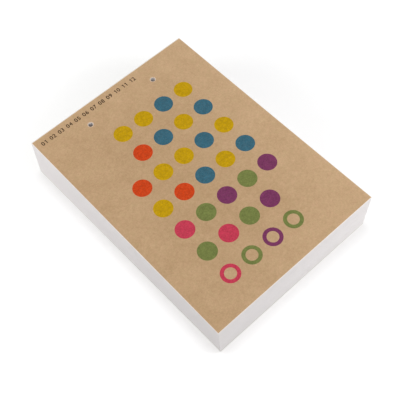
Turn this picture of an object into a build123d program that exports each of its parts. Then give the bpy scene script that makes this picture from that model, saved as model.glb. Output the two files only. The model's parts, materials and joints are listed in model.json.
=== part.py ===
from build123d import *
import os

# A tear-off day calendar: a block of dated leaves between a card cover and a backing board, held together
# by a film of padding glue on the head edge. It lies on its back, with its head towards +Y and its cover up.
# Driving dimensions, in millimetres.

# Trimmed size of the cover, the leaves and the board
sheet_width = 150.0
sheet_length = 208.0

# Thickness of the cover, one leaf, the board and the glue film
cover_thickness = 0.4
leaf_thickness = 0.1
board_thickness = 1.6
glue_thickness = 0.4

# Two hanging holes, drilled through the block near its head
hole_diameter = 4.0
hole_spacing = 63.0
hole_inset = 17.5

# One leaf for each day of the year: the first few are pieces of their own, the rest lie in a stack for each month
single_leaves = 7
first_month = "january"
days_in_month = {
    "january": 31,
    "february": 28,
    "march": 31,
    "april": 30,
    "may": 31,
    "june": 30,
    "july": 31,
    "august": 31,
    "september": 30,
    "october": 31,
    "november": 30,
    "december": 31,
}

# The origin is under the middle of the block, glue film included
block_length = sheet_length + glue_thickness
foot_y = -block_length / 2
head_y = foot_y + sheet_length
head_face_y = head_y + glue_thickness
hole_y = head_y - hole_inset


def drilled_sheet(thickness):
    """One sheet at table level, trimmed to size and drilled for hanging."""
    outline = Pos(0, foot_y + sheet_length / 2) * Rectangle(sheet_width, sheet_length)
    for side in (-1, 1):
        outline -= Pos(side * hole_spacing / 2, hole_y) * Circle(hole_diameter / 2)
    return extrude(outline, thickness)


def stack(bottom, thickness, count):
    """Separate copies of one sheet, lying flush on each other from a level up."""
    sheet = drilled_sheet(thickness)
    return Compound([Pos(0, 0, bottom + step * thickness) * sheet for step in range(count)])


def glue_strip(bottom, top):
    """The stretch of the glue film that covers the head edge between two levels."""
    centre = Pos(0, (head_y + head_face_y) / 2, (bottom + top) / 2)
    return centre * Box(sheet_width, glue_thickness, top - bottom)


def layers():
    """Every layer from the board up to the cover: its name, a sheet's thickness and the number of sheets."""
    yield "back_board", board_thickness, 1
    for month, days in reversed(days_in_month.items()):
        taken = single_leaves if month == first_month else 0
        yield f"{month}_leaves", leaf_thickness, days - taken
    for day in range(single_leaves, 0, -1):
        yield f"day_leaf_{day}", leaf_thickness, 1
    yield "front_cover", cover_thickness, 1


pieces = {}
level = {}
top = 0.0
for name, thickness, count in layers():
    pieces[name] = stack(top, thickness, count)
    level[name] = top
    top += thickness * count

# The film bends under the single leaves and again under the cover, so it is in three strips
leaves_level = level[f"day_leaf_{single_leaves}"]
cover_level = level["front_cover"]
pieces["head_glue"] = glue_strip(0.0, leaves_level)
pieces["head_glue_leaves"] = glue_strip(leaves_level, cover_level)
pieces["head_glue_cover"] = glue_strip(cover_level, top)

os.makedirs("parts", exist_ok=True)
for name, piece in pieces.items():
    export_step(piece, f"parts/{name}.step")

print(f"block {sheet_width} x {block_length} x {top:.2f}")
print(f"leaves turn about y {head_face_y:.2f}, z {leaves_level:.2f}")
print(f"cover turns about y {head_face_y:.2f}, z {cover_level:.2f}")
print(f"holes at x {hole_spacing / 2:.2f} either side, y {hole_y:.2f}")
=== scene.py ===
import json
import math
import random

import bmesh
import bpy
import numpy as np
from mathutils import Matrix, Quaternion, Vector, noise


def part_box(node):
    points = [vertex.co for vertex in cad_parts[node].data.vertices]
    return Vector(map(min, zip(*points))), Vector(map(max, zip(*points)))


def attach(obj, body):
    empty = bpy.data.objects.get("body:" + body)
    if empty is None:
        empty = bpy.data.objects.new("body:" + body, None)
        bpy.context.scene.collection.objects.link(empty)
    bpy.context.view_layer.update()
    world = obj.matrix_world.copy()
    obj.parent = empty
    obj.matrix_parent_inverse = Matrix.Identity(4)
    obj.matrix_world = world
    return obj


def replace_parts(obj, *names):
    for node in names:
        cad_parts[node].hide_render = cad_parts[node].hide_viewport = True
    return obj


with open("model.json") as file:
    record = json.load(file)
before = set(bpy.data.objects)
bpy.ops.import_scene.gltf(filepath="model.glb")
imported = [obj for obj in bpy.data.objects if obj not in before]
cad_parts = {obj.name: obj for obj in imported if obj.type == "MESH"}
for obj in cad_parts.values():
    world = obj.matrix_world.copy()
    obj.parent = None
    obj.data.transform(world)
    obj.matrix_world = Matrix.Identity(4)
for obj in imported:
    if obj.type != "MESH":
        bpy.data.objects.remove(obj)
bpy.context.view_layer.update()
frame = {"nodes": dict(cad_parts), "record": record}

# A block calendar on its back: kraft cover up, head with the hanging holes towards +Y. Lengths are in metres.
MM = 0.001
random.seed(365)

# Sizes that the frame gives
cover_low, cover_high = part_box("front_cover")
left, right = cover_low.x, cover_high.x
foot, head = cover_low.y, cover_high.y
block_height = cover_high.z
holes = [mount for mount in frame["record"]["mounts"] if mount["kind"] == "bore"]
hole_radius = holes[0]["dims"]["r_mm"] * MM
hole_centres = sorted((mount["pos_m"][0], mount["pos_m"][1]) for mount in holes)
hole_y = hole_centres[0][1]

days_in_week = 7
months_in_year = 12

# Paper: leaves lie with a little air between them, and their cut edges are not quite in line. Each leaf keeps
# most of the drift of the one below, up to a limit, and adds a scatter of its own
leaf_pitch = 0.1 * MM
leaf_paper = 0.084 * MM
edge_scatter = 0.035 * MM
edge_drift = 0.016 * MM
edge_limit = 0.16 * MM
edge_memory = 0.97

# The block as it stands: how far it has sunk in its middle, how far its long sides stray at the corners of
# the base, and how many lines a sheet's plan has from the foot up to the holes, so that it can follow
block_dip = 0.3 * MM
base_skew = 1.35 * MM
sheet_lines = 9

# Holes, in shares of their radius: half the plan's square around one, the land that the drill has pressed and
# the burr at the rim. Then how deep the rim is pressed, and the depths between which the walls are painted
# darker, a painted shade deep in the holes
hole_points = 24
hole_square = 1.9
hole_land = 1.24
rim_burr = 0.06
rim_press = 0.2 * MM
hole_shade_top, hole_shade_depth = 1.5 * MM, 7.0 * MM

# Kraft card: the pale edge, worn and partly a painted highlight, the wide border painted paler as painted
# light, and the directions of the fibres in degrees
worn_and_lit_edge = 0.38 * MM
painted_light_border = 60 * MM
fibre_turns = (20, 67, 114, 161)
fibre_slimness = 12

# Glue film: a hair's breadth off the paper and the next strip, and how closely its brush marks are drawn. The
# marks are long streaks and short ripples, so many to the metre, that swing its thickness about a mean share
film_gap = 0.01 * MM
film_step_x, film_step_z = 1.25 * MM, 0.7 * MM
film_rows_least = 3
streaks_x, streaks_z = 22, 420
ripples = 90
film_mean, film_swing = 0.72, 0.26
brush_force = 0.8

# Print: ink lies in the air under the next leaf, and stands a hair above the cover. Where it lies thick it is
# darker than the ink itself, and where it lies thin it is paler
ink_film = 0.010 * MM
ink_weld = ink_film / 20
ink_thick, ink_thin = 0.35, 1.65
dot_points = 72

# Figures, in shares of their size: how tall and how far apart they are, and the outline of a 1
figure_height = 0.69
figure_step = 0.56
FIGURE_ONE = [
    (0.0, 0.0), (0.1, 0.0), (0.1, 0.69), (0.03, 0.69), (-0.15, 0.56), (-0.1, 0.48), (0.0, 0.55),
]

# Cover design: a month of round dots, one column for each week, and a row of month numbers at the head. The
# pair of inks changes at one column and at one row
dot_radius = 7.4 * MM
ring_width = 2.9 * MM
dot_columns, dot_rows = 5, days_in_week
dot_pitch_x, dot_pitch_y = 20.4 * MM, 23.4 * MM
dots_centre = (1.5 * MM, -8.0 * MM)
days_in_dots = 31
first_dot = 2
change_column, change_row = 2, 4
ink_pairs = [("orange", "mustard"), ("mustard", "teal"), ("crimson", "green"), ("purple", "green")]
number_pitch = 7.9 * MM
number_size = 5.0 * MM
number_spread = 0.085 * MM
number_start = 7.6 * MM
number_below_head = 6.4 * MM

# Leaf design: a large figure, and the week as a row of small dots
figure_size = 118 * MM
figure_below_head = 112 * MM
week_pitch = 9.5 * MM
week_below_head = 33 * MM
week_dot = 2.1 * MM
week_ring = 1.55 * MM

# View: where the camera stands around the block in degrees, what it aims at, how far away, and its lens
view_azimuth, view_elevation, view_roll = -38.40, 60.06, -4.50
view_aim = (-15.60 * MM, -21.16 * MM, 38.5 * MM)
view_distance = 0.56153
view_lens = 70.14

# Floor: how light it looks, and how much light it gives back. It is painted lighter towards the near corner,
# a painted light against the shade that the block casts most there, and fades to white between two distances
floor_size = 12.0
floor_gap = 0.02 * MM
floor_seen, floor_lit = 1.0, 0.8
floor_painted_lift, floor_painted_lift_span = 0.21, (-0.04, 0.18)
floor_painted_lift_x, floor_painted_lift_y = 1.2, 0.9
floor_fade = (0.12, 0.5)

# Light: the room's even level, and the lamps with their places and watts
room_light = 0.65
lamp_size = 0.4
lamps = [
    ("right_lamp", (0.413, -0.413, 0.205), 1.49),
    ("left_lamp", (-0.413, 0.413, 0.205), 1.18),
    ("top_lamp", (0.10, 0.17, 1.28), 2.7),
]


def srgb(red, green, blue):
    """A colour as 8-bit screen values, turned into the linear values that shaders take."""
    linear = [((c / 255 + 0.055) / 1.055) ** 2.4 for c in (red, green, blue)]
    return (*linear, 1.0)


KRAFT_WARM = srgb(221, 181, 147)
KRAFT_COOL = srgb(210, 183, 140)
KRAFT_DARK = srgb(157, 124, 85)
KRAFT_FIBRE = srgb(120, 92, 62)
KRAFT_CORE = srgb(222, 200, 181)
KRAFT_CORE_DARK = srgb(202, 178, 155)
KRAFT_CUT = srgb(247, 238, 229)
KRAFT_CUT_DARK = srgb(232, 219, 205)
PAPER = srgb(243, 240, 240)
PAPER_SHADE = srgb(233, 229, 228)
# Paper painted paler for the hole walls, and darker for their depths: painted light and painted shade in the
# holes
PAPER_HOLE_LIT = srgb(250, 246, 244)
PAPER_HOLE_SHADE = srgb(190, 165, 150)
BOARD = srgb(236, 233, 229)
BOARD_CORE = srgb(214, 209, 202)
GLUE = srgb(224, 221, 213)
GLUE_THIN = srgb(202, 198, 187)
TEXT_INK = srgb(42, 27, 16)
INKS = {
    "orange": srgb(199, 64, 21),
    "mustard": srgb(188, 149, 0),
    "teal": srgb(52, 99, 117),
    "green": srgb(112, 122, 66),
    "purple": srgb(116, 51, 91),
    "crimson": srgb(191, 57, 81),
}


class Wire:
    """An output in a material's node tree. Sums on it add Math nodes, and node() adds any other node."""

    def __init__(self, tree, socket=None):
        self.tree = tree
        self.socket = socket

    def node(self, kind, settings=(), inputs=(), output=0):
        """Adds a node: its settings first, then the values and links of its sockets."""
        made = self.tree.nodes.new(kind)
        for name, value in dict(settings).items():
            setattr(made, name, value)
        for name, value in dict(inputs).items():
            if isinstance(value, Wire):
                self.tree.links.new(value.socket, made.inputs[name])
            else:
                made.inputs[name].default_value = value
        return Wire(self.tree, made.outputs[output] if made.outputs else None)

    def math(self, operation, *values):
        return self.node("ShaderNodeMath", {"operation": operation}, enumerate(values))

    def __add__(self, other):
        return self.math("ADD", self, other)

    def __radd__(self, other):
        return self.math("ADD", other, self)

    def __sub__(self, other):
        return self.math("SUBTRACT", self, other)

    def __rsub__(self, other):
        return self.math("SUBTRACT", other, self)

    def __mul__(self, other):
        return self.math("MULTIPLY", self, other)

    def __rmul__(self, other):
        return self.math("MULTIPLY", other, self)

    def __abs__(self):
        return self.math("ABSOLUTE", self)


def smooth(value, low, high):
    """0 where the value is under low, 1 where it is over high, and an even curve between."""
    limits = {"Value": value, "From Min": low, "From Max": high}
    return value.node("ShaderNodeMapRange", {"interpolation_type": "SMOOTHSTEP"}, limits)


def mix(share, first, second):
    """A colour between two colours."""
    return share.node("ShaderNodeMix", {"data_type": "RGBA"}, {0: share, 6: first, 7: second}, 2)


def stretched(at, lengths, turn=0.0, offset=0.0):
    """Coordinates in units of the given lengths, along axes turned about Z."""
    start = (offset, offset, offset)
    places = {"Vector": at, "Location": start, "Rotation": (0, 0, turn), "Scale": lengths}
    return at.node("ShaderNodeMapping", {"vector_type": "TEXTURE"}, places)


def cloud(at, size, detail=2.0):
    """Soft noise around 0.5 with features of one size."""
    return at.node("ShaderNodeTexNoise", (), {"Vector": at, "Scale": 1 / size, "Detail": detail})


def streaks(at, lengths, turn=0.0, offset=0.0):
    """Soft noise around 0.5 drawn out along one direction."""
    return cloud(stretched(at, lengths, turn, offset), 1.0, 1.0)


def specks(at, spacing, size, share, offset):
    """Small round specks: 1 inside, 0 outside, in some of the cells of a loose scatter."""
    cells = {"Vector": stretched(at, (1, 1, 1), offset=offset), "Scale": 1 / spacing}
    near = at.node("ShaderNodeTexVoronoi", {"feature": "F1"}, cells, "Distance")
    chance = at.node("ShaderNodeTexVoronoi", {"feature": "F1"}, cells, "Color")
    pick = at.node("ShaderNodeSeparateColor", (), {"Color": chance})
    inside = 1 - smooth(near, 0.6 * size / spacing, size / spacing)
    return inside * pick.math("LESS_THAN", pick, share)


def axes(at):
    """The three coordinates as wires."""
    apart = at.node("ShaderNodeSeparateXYZ", (), {"Vector": at})
    outputs = apart.socket.node.outputs
    return [Wire(at.tree, outputs[name]) for name in "XYZ"]


def relief(height, distance):
    """A normal that follows a height of 0 to 1, with its full depth as a distance."""
    return height.node("ShaderNodeBump", (), {"Height": height, "Distance": distance, "Strength": 1.0})


def new_material(name):
    """An empty material, and the coordinates of its object as a wire."""
    material = bpy.data.materials.new(name)
    material.use_nodes = True
    tree = material.node_tree
    tree.nodes.clear()
    return material, Wire(tree).node("ShaderNodeTexCoord", output="Object")


def surface(at, material, sockets):
    """Ends a material in a Principled shader with these values and wires."""
    shader = at.node("ShaderNodeBsdfPrincipled", (), sockets)
    at.node("ShaderNodeOutputMaterial", (), {"Surface": shader})
    return material


def kraft_fibres(at, width, offset):
    """Fine fibres that cross in several directions, 1 on a fibre and 0 beside it."""
    total = None
    for step, turn in enumerate(fibre_turns):
        drawn = streaks(at, (fibre_slimness * width, width, width), math.radians(turn), offset + step)
        hair = smooth(drawn, 0.62, 0.74)
        total = hair if total is None else total.math("MAXIMUM", total, hair)
    return total


def from_edge(at):
    """How far a place on the cover is from its nearest edge."""
    x, y, _ = axes(at)
    side = (right - left) / 2 - abs(x)
    end = (head - foot) / 2 - abs(y - (head + foot) / 2)
    return side.math("MINIMUM", side, end)


def kraft_tone(at):
    """How light the card is from place to place: clouds, mottling, grain and crossing fibres.

    It is painted a little paler over a wide border towards its edges, and towards +X: painted light, where
    the card is lit more brightly.
    """
    # Painted light: paler over a wide border towards the edges, and paler towards +X
    painted_edge_light = 1 - smooth(from_edge(at), 0.0, painted_light_border)
    painted_side_light = axes(at)[0] * (2 / (right - left))
    clouds = cloud(at, 14 * MM, 3.0)
    mottle = cloud(at, 3.4 * MM, 3.0)
    grain = cloud(at, 1.3 * MM, 4.0)
    pale = kraft_fibres(at, 0.12 * MM, 3.0)
    return clouds * 0.28 + mottle * 0.22 + grain * 0.50 + pale * 0.10 + painted_edge_light * 0.11 + painted_side_light * 0.06 - 0.07


def kraft_colour(at, tone):
    """The card's colour for a tone, a little redder in some places and greener in others."""
    hue = cloud(stretched(at, (1, 1, 1), offset=2.0), 2.6 * MM, 2.0)
    return mix(tone, KRAFT_DARK, mix(hue, KRAFT_COOL, KRAFT_WARM))


def kraft_card():
    """Uncoated brown card with fine crossing fibres and a few dark specks."""
    material, at = new_material("kraft_cover")
    tone = kraft_tone(at)
    dark = kraft_fibres(at, 0.10 * MM, 11.0)
    flecks = specks(at, 5.0 * MM, 0.30 * MM, 0.5, 7.0)
    spotted = flecks.math("MAXIMUM", flecks * 0.55, dark * 0.26)
    # A pale line along the card's edges: worn card, and partly a painted highlight where the edge catches
    # light
    worn_and_lit = 1 - smooth(from_edge(at), worn_and_lit_edge / 2, worn_and_lit_edge)
    colour = mix(worn_and_lit * 0.9, mix(spotted, kraft_colour(at, tone), KRAFT_FIBRE), KRAFT_CUT)
    height = tone + dark * 0.3
    return surface(at, material, {
        "Base Color": colour,
        "Roughness": 0.92 - tone * 0.14,
        "Normal": relief(height, 0.03 * MM),
        "Specular IOR Level": 0.3,
    })


def kraft_core(name, dark, pale):
    """The card's paler core in thin layers, where it is cut or drilled."""
    material, at = new_material(name)
    layers = streaks(at, (6 * MM, 6 * MM, 0.05 * MM))
    grain = cloud(at, 0.4 * MM, 3.0)
    colour = mix(layers * 0.5 + grain * 0.5, dark, pale)
    return surface(at, material, {
        "Base Color": colour,
        "Roughness": 0.95,
        "Normal": relief(layers, 0.03 * MM),
        "Specular IOR Level": 0.2,
    })


def tints(ink):
    """An ink where it lies thick and where it lies thin, which even out to the ink's own colour."""
    return [tuple(c * share for c in ink[:3]) + (1.0,) for share in (ink_thick, ink_thin)]


def card_ink(name, ink):
    """Matt ink on the card: thicker and thinner with the grain, and a few fibres show through."""
    material, at = new_material(name)
    tone = kraft_tone(at)
    grain = cloud(at, 1.1 * MM, 4.0) * 0.6 + cloud(at, 2.8 * MM, 3.0) * 0.4
    bare = kraft_fibres(at, 0.12 * MM, 3.0)
    thick, thin = tints(ink)
    card = kraft_colour(at, tone)
    return surface(at, material, {
        "Base Color": mix(bare * 0.12, mix(grain, thick, thin), card),
        "Roughness": 0.78 + grain * 0.2,
        "Normal": relief(tone, 0.025 * MM),
        "Specular IOR Level": 0.08,
    })


def leaf_face():
    """Uncoated white paper with a faint cloudy formation."""
    material, at = new_material("leaf_faces")
    formation = cloud(at, 2.2 * MM, 4.0)
    fuzz = cloud(at, 0.25 * MM, 2.0)
    colour = mix(formation * 0.7 + fuzz * 0.3, PAPER_SHADE, PAPER)
    return surface(at, material, {
        "Base Color": colour,
        "Roughness": 0.9 - fuzz * 0.1,
        "Normal": relief(fuzz, 0.01 * MM),
        "Specular IOR Level": 0.3,
    })


def leaf_cut_edge():
    """The trimmed edges of many leaves, each a little lighter or darker, with faint marks of the knife."""
    material, at = new_material("leaf_cut_edges")
    bands = streaks(at, (90 * MM, 90 * MM, 0.9 * MM))
    each = streaks(at, (60 * MM, 60 * MM, 0.09 * MM), offset=5.0)
    knife = streaks(at, (0.7 * MM, 0.7 * MM, 30 * MM), offset=9.0)
    tone = 0.15 + bands * 0.45 + each * 0.35 + knife * 0.25
    return surface(at, material, {
        "Base Color": mix(tone, PAPER_SHADE, PAPER),
        "Roughness": 0.95,
        "Normal": relief(each * 0.7 + knife * 0.3, 0.02 * MM),
        "Specular IOR Level": 0.2,
    })


def leaf_drilled_edge():
    """The walls of the holes: paper in layers, painted paler than the leaves, and painted darker from a few
    leaves down: painted light and painted shade in the holes.
    """
    material, at = new_material("leaf_drilled_edges")
    each = streaks(at, (8 * MM, 8 * MM, 0.3 * MM), offset=5.0)
    # Painted shade: the walls turn darker from a few leaves down the holes, where light does not reach
    painted_hole_shade = 1 - smooth(axes(at)[2], block_height - hole_shade_depth, block_height - hole_shade_top)
    return surface(at, material, {
        "Base Color": mix(painted_hole_shade, mix(each, PAPER, PAPER_HOLE_LIT), PAPER_HOLE_SHADE),
        "Roughness": 0.95,
        "Normal": relief(each, 0.03 * MM),
        "Specular IOR Level": 0.2,
    })


def leaf_ink(name, ink):
    """Matt ink on white paper, slightly mottled."""
    material, at = new_material(name)
    mottle = smooth(cloud(at, 0.6 * MM, 4.0), 0.55, 0.85)
    return surface(at, material, {
        "Base Color": mix(mottle * 0.22, ink, PAPER),
        "Roughness": 0.78 + mottle * 0.15,
        "Normal": relief(mottle, 0.006 * MM),
        "Specular IOR Level": 0.1,
    })


def board_face():
    """White paper lining on the board, with the board's own unevenness under it."""
    material, at = new_material("board_lining")
    uneven = cloud(at, 6 * MM, 3.0)
    fuzz = cloud(at, 0.3 * MM, 3.0)
    return surface(at, material, {
        "Base Color": mix(uneven * 0.6 + fuzz * 0.4, PAPER_SHADE, BOARD),
        "Roughness": 0.88 - fuzz * 0.1,
        "Normal": relief(uneven, 0.04 * MM),
        "Specular IOR Level": 0.3,
    })


def board_cut_edge():
    """The board's cut edge: pale pulp pressed in layers between the two linings."""
    material, at = new_material("board_cut_edge")
    layers = streaks(at, (25 * MM, 25 * MM, 0.16 * MM))
    pulp = cloud(at, 0.35 * MM, 4.0)
    return surface(at, material, {
        "Base Color": mix(layers * 0.6 + pulp * 0.5, BOARD_CORE, BOARD),
        "Roughness": 0.95,
        "Normal": relief(layers * 0.5 + pulp * 0.5, 0.05 * MM),
        "Specular IOR Level": 0.2,
    })


def padding_glue():
    """Dried white glue with the marks of the brush along the head."""
    material, at = new_material("dried_glue")
    brush = streaks(at, (40 * MM, 40 * MM, 0.5 * MM))
    pools = cloud(at, 9 * MM, 2.0)
    thick = brush * 0.6 + pools * 0.5
    return surface(at, material, {
        "Base Color": mix(thick, GLUE_THIN, GLUE),
        "Roughness": 0.62 - thick * 0.3,
        "Normal": relief(brush, 0.06 * MM),
        "Coat Weight": 0.15,
        "Coat Roughness": 0.35,
    })


def circle(centre, radius, count=dot_points):
    """Points round a circle, counter-clockwise from +X."""
    x, y = centre
    angles = [math.tau * step / count for step in range(count)]
    return [(x + radius * math.cos(angle), y + radius * math.sin(angle)) for angle in angles]


# Plan of a drilled sheet, shared by the cover, every leaf and the board
square = hole_square * hole_radius
hole_lines = [x + side * square for x, _ in hole_centres for side in (-1, 1)]
columns = [left, *hole_lines, right]
rows = [*np.linspace(foot, hole_y - square, sheet_lines), hole_y + square, head]
middle = (foot + head) / 2
dips = [block_dip * (1 - (2 * (y - middle) / (head - foot)) ** 2) for y in rows]


def settle(points):
    """Puts points of a true block where the trimmed one has them.

    It has sunk in its middle, and towards the base its long sides are cut askew, wider apart at the head than
    at the foot. The holes are straight.
    """
    x, y, z = points.T
    up = z / block_height
    along = 2 * (y - middle) / (head - foot)
    aside = np.sign(x) * np.clip((abs(x) - hole_lines[-1]) / (right - hole_lines[-1]), 0, 1)
    strayed = x + base_skew * along * aside * (1 - up)
    sunk = z - np.interp(y, rows, dips) * up
    return np.column_stack([strayed, y, sunk])


def sheet_plan():
    """A drilled sheet from above: its points, faces, the rims and edges of its holes, and its outer edge."""
    points = [(x, y) for y in rows for x in columns]
    across = len(columns)
    hole_row = rows.index(hole_y - square)
    hole_columns = [columns.index(line) for line in hole_lines[::2]]
    faces, rims, hole_edges = [], [], []

    def ring(centre, radius):
        """Adds a circle of points and returns their numbers."""
        points.extend(circle(centre, radius, hole_points))
        return [*range(len(points) - hole_points, len(points))]

    def drill(centre, corners):
        """Fills one square of the plan around its hole."""
        edge = ring(centre, hole_radius)
        land = ring(centre, hole_land * hole_radius)
        quarter = hole_points // 4
        for step in range(hole_points):
            after = (step + 1) % hole_points
            corner = corners[step // quarter]
            rims.append((edge[step], land[step], land[after], edge[after]))
            faces.append((land[step], corner, land[after]))
            if after % quarter == 0:
                faces.append((land[after], corner, corners[(step // quarter + 1) % 4]))
        hole_edges.append(edge)

    for row in range(len(rows) - 1):
        for column in range(across - 1):
            low = row * across + column
            high = low + across
            if row == hole_row and column in hole_columns:
                drill(hole_centres[hole_columns.index(column)], (high + 1, high, low, low + 1))
            else:
                faces.append((low, low + 1, high + 1, high))
    last = (len(rows) - 1) * across
    outer = [*range(across - 1), *range(across - 1, last + across - 1, across)]
    outer += [*range(last + across - 1, last, -1), *range(last, 0, -across)]
    return np.array(points), faces, rims, hole_edges, outer


plan_points, plan_faces, plan_rims, plan_holes, plan_outer = sheet_plan()


def add(name, data):
    """A new object in the scene."""
    made = bpy.data.objects.new(name, data)
    bpy.context.scene.collection.objects.link(made)
    return made


def walls(edge, drop, inwards=False):
    """Upright faces between the two sides of a sheet along one edge."""
    for here, there in zip(edge, edge[1:] + edge[:1]):
        if inwards:
            here, there = there, here
        yield (here + drop, there + drop, there, here)


def sheets(name, levels, looks, shifts=None, pressed=False):
    """Drilled sheets, each from one level to another, as one object. Shifts move them in their planes.

    The looks are those of the faces, the cut edges and the holes. Where the drill has pressed the upper rims
    of the holes down and in, they look like the holes.
    """
    count = len(plan_points)
    parts = [
        (0, plan_faces),
        (2 if pressed else 0, plan_rims),
        (0, [tuple(n + count for n in reversed(face)) for face in plan_faces + plan_rims]),
        (1, [*walls(plan_outer, count)]),
        (2, [wall for edge in plan_holes for wall in walls(edge, count, inwards=True)]),
    ]
    sheet_faces = [face for _, part in parts for face in part]
    sheet_finishes = [look for look, part in parts for _ in part]
    points, faces, finishes = [], [], []
    for order, (bottom, top) in enumerate(levels):
        flat = plan_points + (shifts[order] if shifts else 0.0)
        upper = np.column_stack([flat, np.full(count, top)])
        lower = np.column_stack([flat, np.full(count, bottom)])
        if pressed:
            for centre, edge in zip(hole_centres, plan_holes):
                upper[edge, :2] += rim_burr * (centre - upper[edge, :2])
                upper[edge, 2] -= rim_press
        start = 2 * count * order
        points += [upper, lower]
        faces += [tuple(n + start for n in f) for f in sheet_faces]
        finishes += sheet_finishes
    mesh = bpy.data.meshes.new(name)
    mesh.from_pydata(settle(np.concatenate(points)).tolist(), [], faces)
    for look in looks:
        mesh.materials.append(look)
    mesh.polygons.foreach_set("material_index", finishes)
    return add(name, mesh)


def outlines(name, loops):
    """A flat curve from closed loops of points. A loop inside another leaves a gap."""
    curve = bpy.data.curves.new(name, "CURVE")
    for loop in loops:
        spline = curve.splines.new("POLY")
        spline.points.add(len(loop) - 1)
        for point, (x, y) in zip(spline.points, loop):
            point.co = (x, y, 0, 1)
        spline.use_cyclic_u = True
    return curve


def digit(name, figure, size):
    """One figure as a flat curve that stands on the origin. A 1 is drawn, as the font's is a bare stroke."""
    if figure == "1":
        return outlines(name, [[(x * size, y * size) for x, y in FIGURE_ONE]])
    curve = bpy.data.curves.new(name, "FONT")
    curve.body = figure
    curve.size = size
    curve.align_x = "CENTER"
    return curve


def number(name, value, size, centre):
    """The figures of a number with their places, in a row of even steps around a centre."""
    x, y = centre
    first = x - figure_step * size * (len(value) - 1) / 2
    below = y - figure_height * size / 2
    return [(digit(f"{name}_{place}", figure, size), (first + place * figure_step * size, below))
            for place, figure in enumerate(value)]


def spread_ink(film, distance):
    """Moves the outlines of a flat print outwards, as ink does that spreads in the paper."""
    film.normal_update()
    moves = {}
    for vertex in film.verts:
        upright = [face.normal for face in vertex.link_faces if abs(face.normal.z) < 0.5]
        moves[vertex] = sum(upright, Vector()).normalized() * distance
    for vertex, move in moves.items():
        vertex.co += move


def printed(name, curves, level, ink, body, spread=0.0):
    """Flat curves at their places, as one film of ink on a sheet whose upper face is at a level."""
    film = bmesh.new()
    for curve, place in curves:
        curve.dimensions = "2D"
        curve.fill_mode = "BOTH"
        curve.extrude = ink_film / 2
        holder = add(name, curve)
        bpy.context.view_layer.update()
        filled = holder.evaluated_get(bpy.context.evaluated_depsgraph_get())
        flat = bpy.data.meshes.new_from_object(filled)
        flat.transform(Matrix.Translation((*place, level + ink_film / 2)))
        film.from_mesh(flat)
        bpy.data.objects.remove(holder)
        bpy.data.meshes.remove(flat)
    bmesh.ops.remove_doubles(film, verts=film.verts, dist=ink_weld)
    bmesh.ops.recalc_face_normals(film, faces=film.faces)
    spread_ink(film, spread)
    for y in rows:
        everything = [*film.verts, *film.edges, *film.faces]
        bmesh.ops.bisect_plane(film, geom=everything, plane_co=(0, y, 0), plane_no=(0, 1, 0))
    settled = settle(np.array([vertex.co for vertex in film.verts]))
    for vertex, place in zip(film.verts, settled):
        vertex.co = place
    mesh = bpy.data.meshes.new(name)
    film.to_mesh(mesh)
    film.free()
    mesh.materials.append(ink)
    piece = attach(add(name, mesh), body)
    return piece


def front_cover():
    """The kraft cover, with the rims of its holes pressed in by the drill."""
    levels = [(cover_low.z, cover_high.z)]
    cut_edge = kraft_core("kraft_cut_edge", KRAFT_CUT_DARK, KRAFT_CUT)
    drilled = kraft_core("kraft_drilled_rims", KRAFT_CORE_DARK, KRAFT_CORE)
    cover = sheets("cover_card", levels, (kraft_card(), cut_edge, drilled), pressed=True)
    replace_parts(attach(cover, "front_cover"), "front_cover")


def cover_print():
    """The dots of a month with rest days as rings, in inks that take turns, and the months' numbers."""
    rounds = {name: [] for name in INKS}
    for day in range(days_in_dots):
        week, weekday = divmod(day + first_dot, dot_rows)
        x = dots_centre[0] + (week - (dot_columns - 1) / 2) * dot_pitch_x
        y = dots_centre[1] - (weekday - (dot_rows - 1) / 2) * dot_pitch_y
        pair = ink_pairs[2 * (weekday >= change_row) + (week >= change_column)]
        ink = pair[(week + weekday) % 2]
        rounds[ink].append(circle((x, y), dot_radius))
        if weekday == dot_rows - 1:
            rounds[ink].append(circle((x, y), dot_radius - ring_width))
    for name, ink in INKS.items():
        dots = outlines(f"dots_{name}", rounds[name])
        material = card_ink(f"card_ink_{name}", ink)
        curves = [(dots, (0, 0))]
        printed(f"cover_dots_{name}", curves, cover_high.z, material, "front_cover")
    numbers = []
    for month in range(1, months_in_year + 1):
        centre = (left + number_start + (month - 1) * number_pitch, head - number_below_head)
        numbers += number(f"month_{month}", f"{month:02}", number_size, centre)
    dark = card_ink("card_ink_dark", TEXT_INK)
    printed("cover_numbers", numbers, cover_high.z, dark, "front_cover", number_spread)


def leaf_print(day, level, body, inks):
    """A leaf's large figure, and the week's row of dots with its own day filled in."""
    ink = inks[(day - 1) % len(inks)]
    curves = number(f"figure_{day}", str(day), figure_size, (0.0, head - figure_below_head))
    rounds = []
    for weekday in range(days_in_week):
        centre = ((weekday - days_in_week // 2) * week_pitch, head - week_below_head)
        rounds.append(circle(centre, week_dot))
        if weekday != (day - 1) % days_in_week:
            rounds.append(circle(centre, week_ring))
    curves.append((outlines(f"week_{day}", rounds), (0.0, 0.0)))
    printed(f"leaf_{day}_figures", curves, level, ink, body)


def single_leaves(looks, inks):
    """The first week's leaves, each riding on its own body."""
    days = sorted(int(node.split("_")[-1]) for node in frame["nodes"] if node.startswith("day_leaf_"))
    for day in days:
        node = f"day_leaf_{day}"
        low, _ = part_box(node)
        level = low.z + leaf_paper
        leaf = sheets(f"leaf_{day}", [(low.z, level)], looks)
        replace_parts(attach(leaf, node), node)
        leaf_print(day, level, node, inks)
    return days


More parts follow.
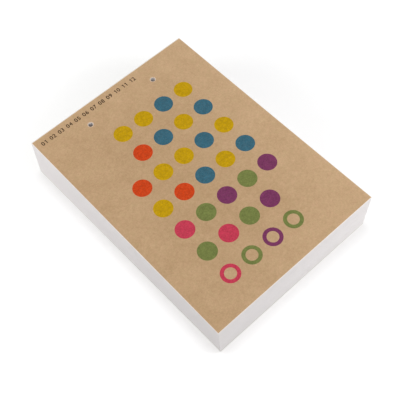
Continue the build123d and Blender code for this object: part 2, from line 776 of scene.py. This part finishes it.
def month_stacks(looks):
    """The rest of the year, each month as a stack of separate leaves whose edges wander a little."""
    stacks = [node for node in frame["nodes"] if node.endswith("_leaves") and "glue" not in node]
    drift = np.zeros(2)
    for node in sorted(stacks, key=lambda name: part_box(name)[0].z):
        low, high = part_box(node)
        count = round((high.z - low.z) / leaf_pitch)
        levels = [(low.z + n * leaf_pitch, low.z + n * leaf_pitch + leaf_paper) for n in range(count)]
        shifts = []
        for _ in levels:
            drift = drift * edge_memory + [random.gauss(0, edge_drift) for _ in "xy"]
            drift = np.clip(drift, -edge_limit, edge_limit)
            shifts.append(drift + [random.gauss(0, edge_scatter) for _ in "xy"])
        stack = sheets(node.replace("leaves", "stack"), levels, looks, shifts)
        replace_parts(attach(stack, "pad"), node)


def back_board():
    """The stiff white-lined board under the last leaf."""
    low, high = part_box("back_board")
    cut_edge = board_cut_edge()
    board = sheets("board", [(low.z, high.z)], (board_face(), cut_edge, cut_edge))
    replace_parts(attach(board, "pad"), "back_board")


def glue_film(name, node, body, look):
    """A strip of the brushed-on film: flat towards the paper, uneven on its outside."""
    low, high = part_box(node)
    thickness = high.y - low.y - film_gap
    across = round((high.x - low.x) / film_step_x)
    up = max(film_rows_least, round((high.z - low.z) / film_step_z))
    inside, outside = [], []
    for z in np.linspace(low.z + film_gap, high.z - film_gap, up + 1):
        for x in np.linspace(low.x, high.x, across + 1):
            brush = noise.noise(Vector((x * streaks_x, z * streaks_z, 3.0)))
            brush += noise.noise(Vector((x * ripples, z * ripples, 8.0)))
            depth = thickness * (film_mean + film_swing * max(-1.0, min(1.0, brush_force * brush)))
            inside.append((x, low.y + film_gap, z))
            outside.append((x, low.y + film_gap + depth, z))
    count = len(inside)
    faces = []
    for row in range(up):
        for column in range(across):
            here = row * (across + 1) + column
            above = here + across + 1
            faces.append((here, here + 1, above + 1, above))
            faces.append(tuple(n + count for n in (here, above, above + 1, here + 1)))
    top = up * (across + 1)
    border = [*range(across), *range(across, top + across, across + 1)]
    border += [*range(top + across, top, -1), *range(top, 0, -across - 1)]
    faces += walls(border, count)
    mesh = bpy.data.meshes.new(name)
    mesh.from_pydata(settle(np.array(inside + outside)).tolist(), [], faces)
    mesh.materials.append(look)
    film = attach(add(name, mesh), body)
    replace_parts(film, node)


def seen_directly(start):
    """1 for rays from the camera, and for those that mirror or pass through something, else 0."""
    path = start.node("ShaderNodeLightPath").socket.node.outputs
    kinds = ("Is Camera Ray", "Is Glossy Ray", "Is Transmission Ray")
    direct, glossy, through = (Wire(start.tree, path[kind]) for kind in kinds)
    either = direct.math("MAXIMUM", direct, glossy)
    return either.math("MAXIMUM", either, through)


def floor():
    """A white floor, plain but for painted light towards the near corner, that keeps the block's soft shadow.
    """
    half = floor_size / 2
    mesh = bpy.data.meshes.new("floor")
    corners = [(-half, -half), (half, -half), (half, half), (-half, half)]
    mesh.from_pydata([(x, y, -floor_gap) for x, y in corners], [], [(0, 1, 2, 3)])
    material, at = new_material("floor_white")
    x, y, _ = axes(at)
    # Painted light: the floor is painted lighter towards the near corner, against the shade the block casts
    # most there
    near = smooth(x * -floor_painted_lift_x - y * floor_painted_lift_y, *floor_painted_lift_span)
    far = at.node("ShaderNodeVectorMath", {"operation": "LENGTH"}, {0: at}, "Value")
    lighter = near * floor_painted_lift + smooth(far, *floor_fade) + (floor_seen - floor_lit)
    shade = seen_directly(at) * lighter + floor_lit
    colour = at.node("ShaderNodeCombineColor", (), {0: shade, 1: shade, 2: shade})
    diffuse = at.node("ShaderNodeBsdfDiffuse", (), {"Color": colour})
    at.node("ShaderNodeOutputMaterial", (), {"Surface": diffuse})
    mesh.materials.append(material)
    add("floor", mesh)


def studio():
    """Even light from all round on a white background, and three broad lamps: right, left and overhead."""
    scene = bpy.context.scene
    scene.view_settings.view_transform = "Standard"
    world = bpy.data.worlds.new("studio")
    world.use_nodes = True
    world.node_tree.nodes.clear()
    start = Wire(world.node_tree)
    strength = seen_directly(start) * (1.0 - room_light) + room_light
    light = start.node("ShaderNodeBackground", (), {"Color": (1, 1, 1, 1), "Strength": strength})
    start.node("ShaderNodeOutputWorld", (), {"Surface": light})
    scene.world = world
    for name, place, watts in lamps:
        lamp = bpy.data.lights.new(name, "AREA")
        lamp.energy = watts
        lamp.shape = "DISK"
        lamp.size = lamp_size
        made = add(name, lamp)
        made.location = place
        made.rotation_mode = "QUATERNION"
        made.rotation_quaternion = Vector(place).to_track_quat("Z", "Y")
        made.visible_camera = False


def towards(azimuth, elevation):
    """The direction from the block at an azimuth and an elevation in degrees. Azimuth 0 is at the foot."""
    turn, rise = math.radians(azimuth), math.radians(elevation)
    return Vector((math.sin(turn) * math.cos(rise), -math.cos(turn) * math.cos(rise), math.sin(rise)))


def camera():
    """The photograph's view."""
    lens = bpy.data.cameras.new("camera")
    lens.lens = view_lens
    made = add("camera", lens)
    back = towards(view_azimuth, view_elevation)
    made.location = Vector(view_aim) + back * view_distance
    made.rotation_mode = "QUATERNION"
    roll = Quaternion((0, 0, 1), math.radians(view_roll))
    made.rotation_quaternion = (-back).to_track_quat("-Z", "Y") @ roll
    bpy.context.scene.camera = made


camera()
studio()
floor()
leaf_looks = leaf_face(), leaf_cut_edge(), leaf_drilled_edge()
leaf_inks = [leaf_ink(f"leaf_ink_{name}", ink) for name, ink in INKS.items()]
front_cover()
cover_print()
last_day = single_leaves(leaf_looks, leaf_inks)[-1]
month_stacks(leaf_looks)
leaf_print(last_day + 1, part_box(f"day_leaf_{last_day}")[0].z - leaf_pitch + leaf_paper, "pad", leaf_inks)
back_board()
glue = padding_glue()
glue_film("glue_film", "head_glue", "pad", glue)
glue_film("glue_film_leaves", "head_glue_leaves", f"day_leaf_{last_day}", glue)
glue_film("glue_film_cover", "head_glue_cover", "front_cover", glue)
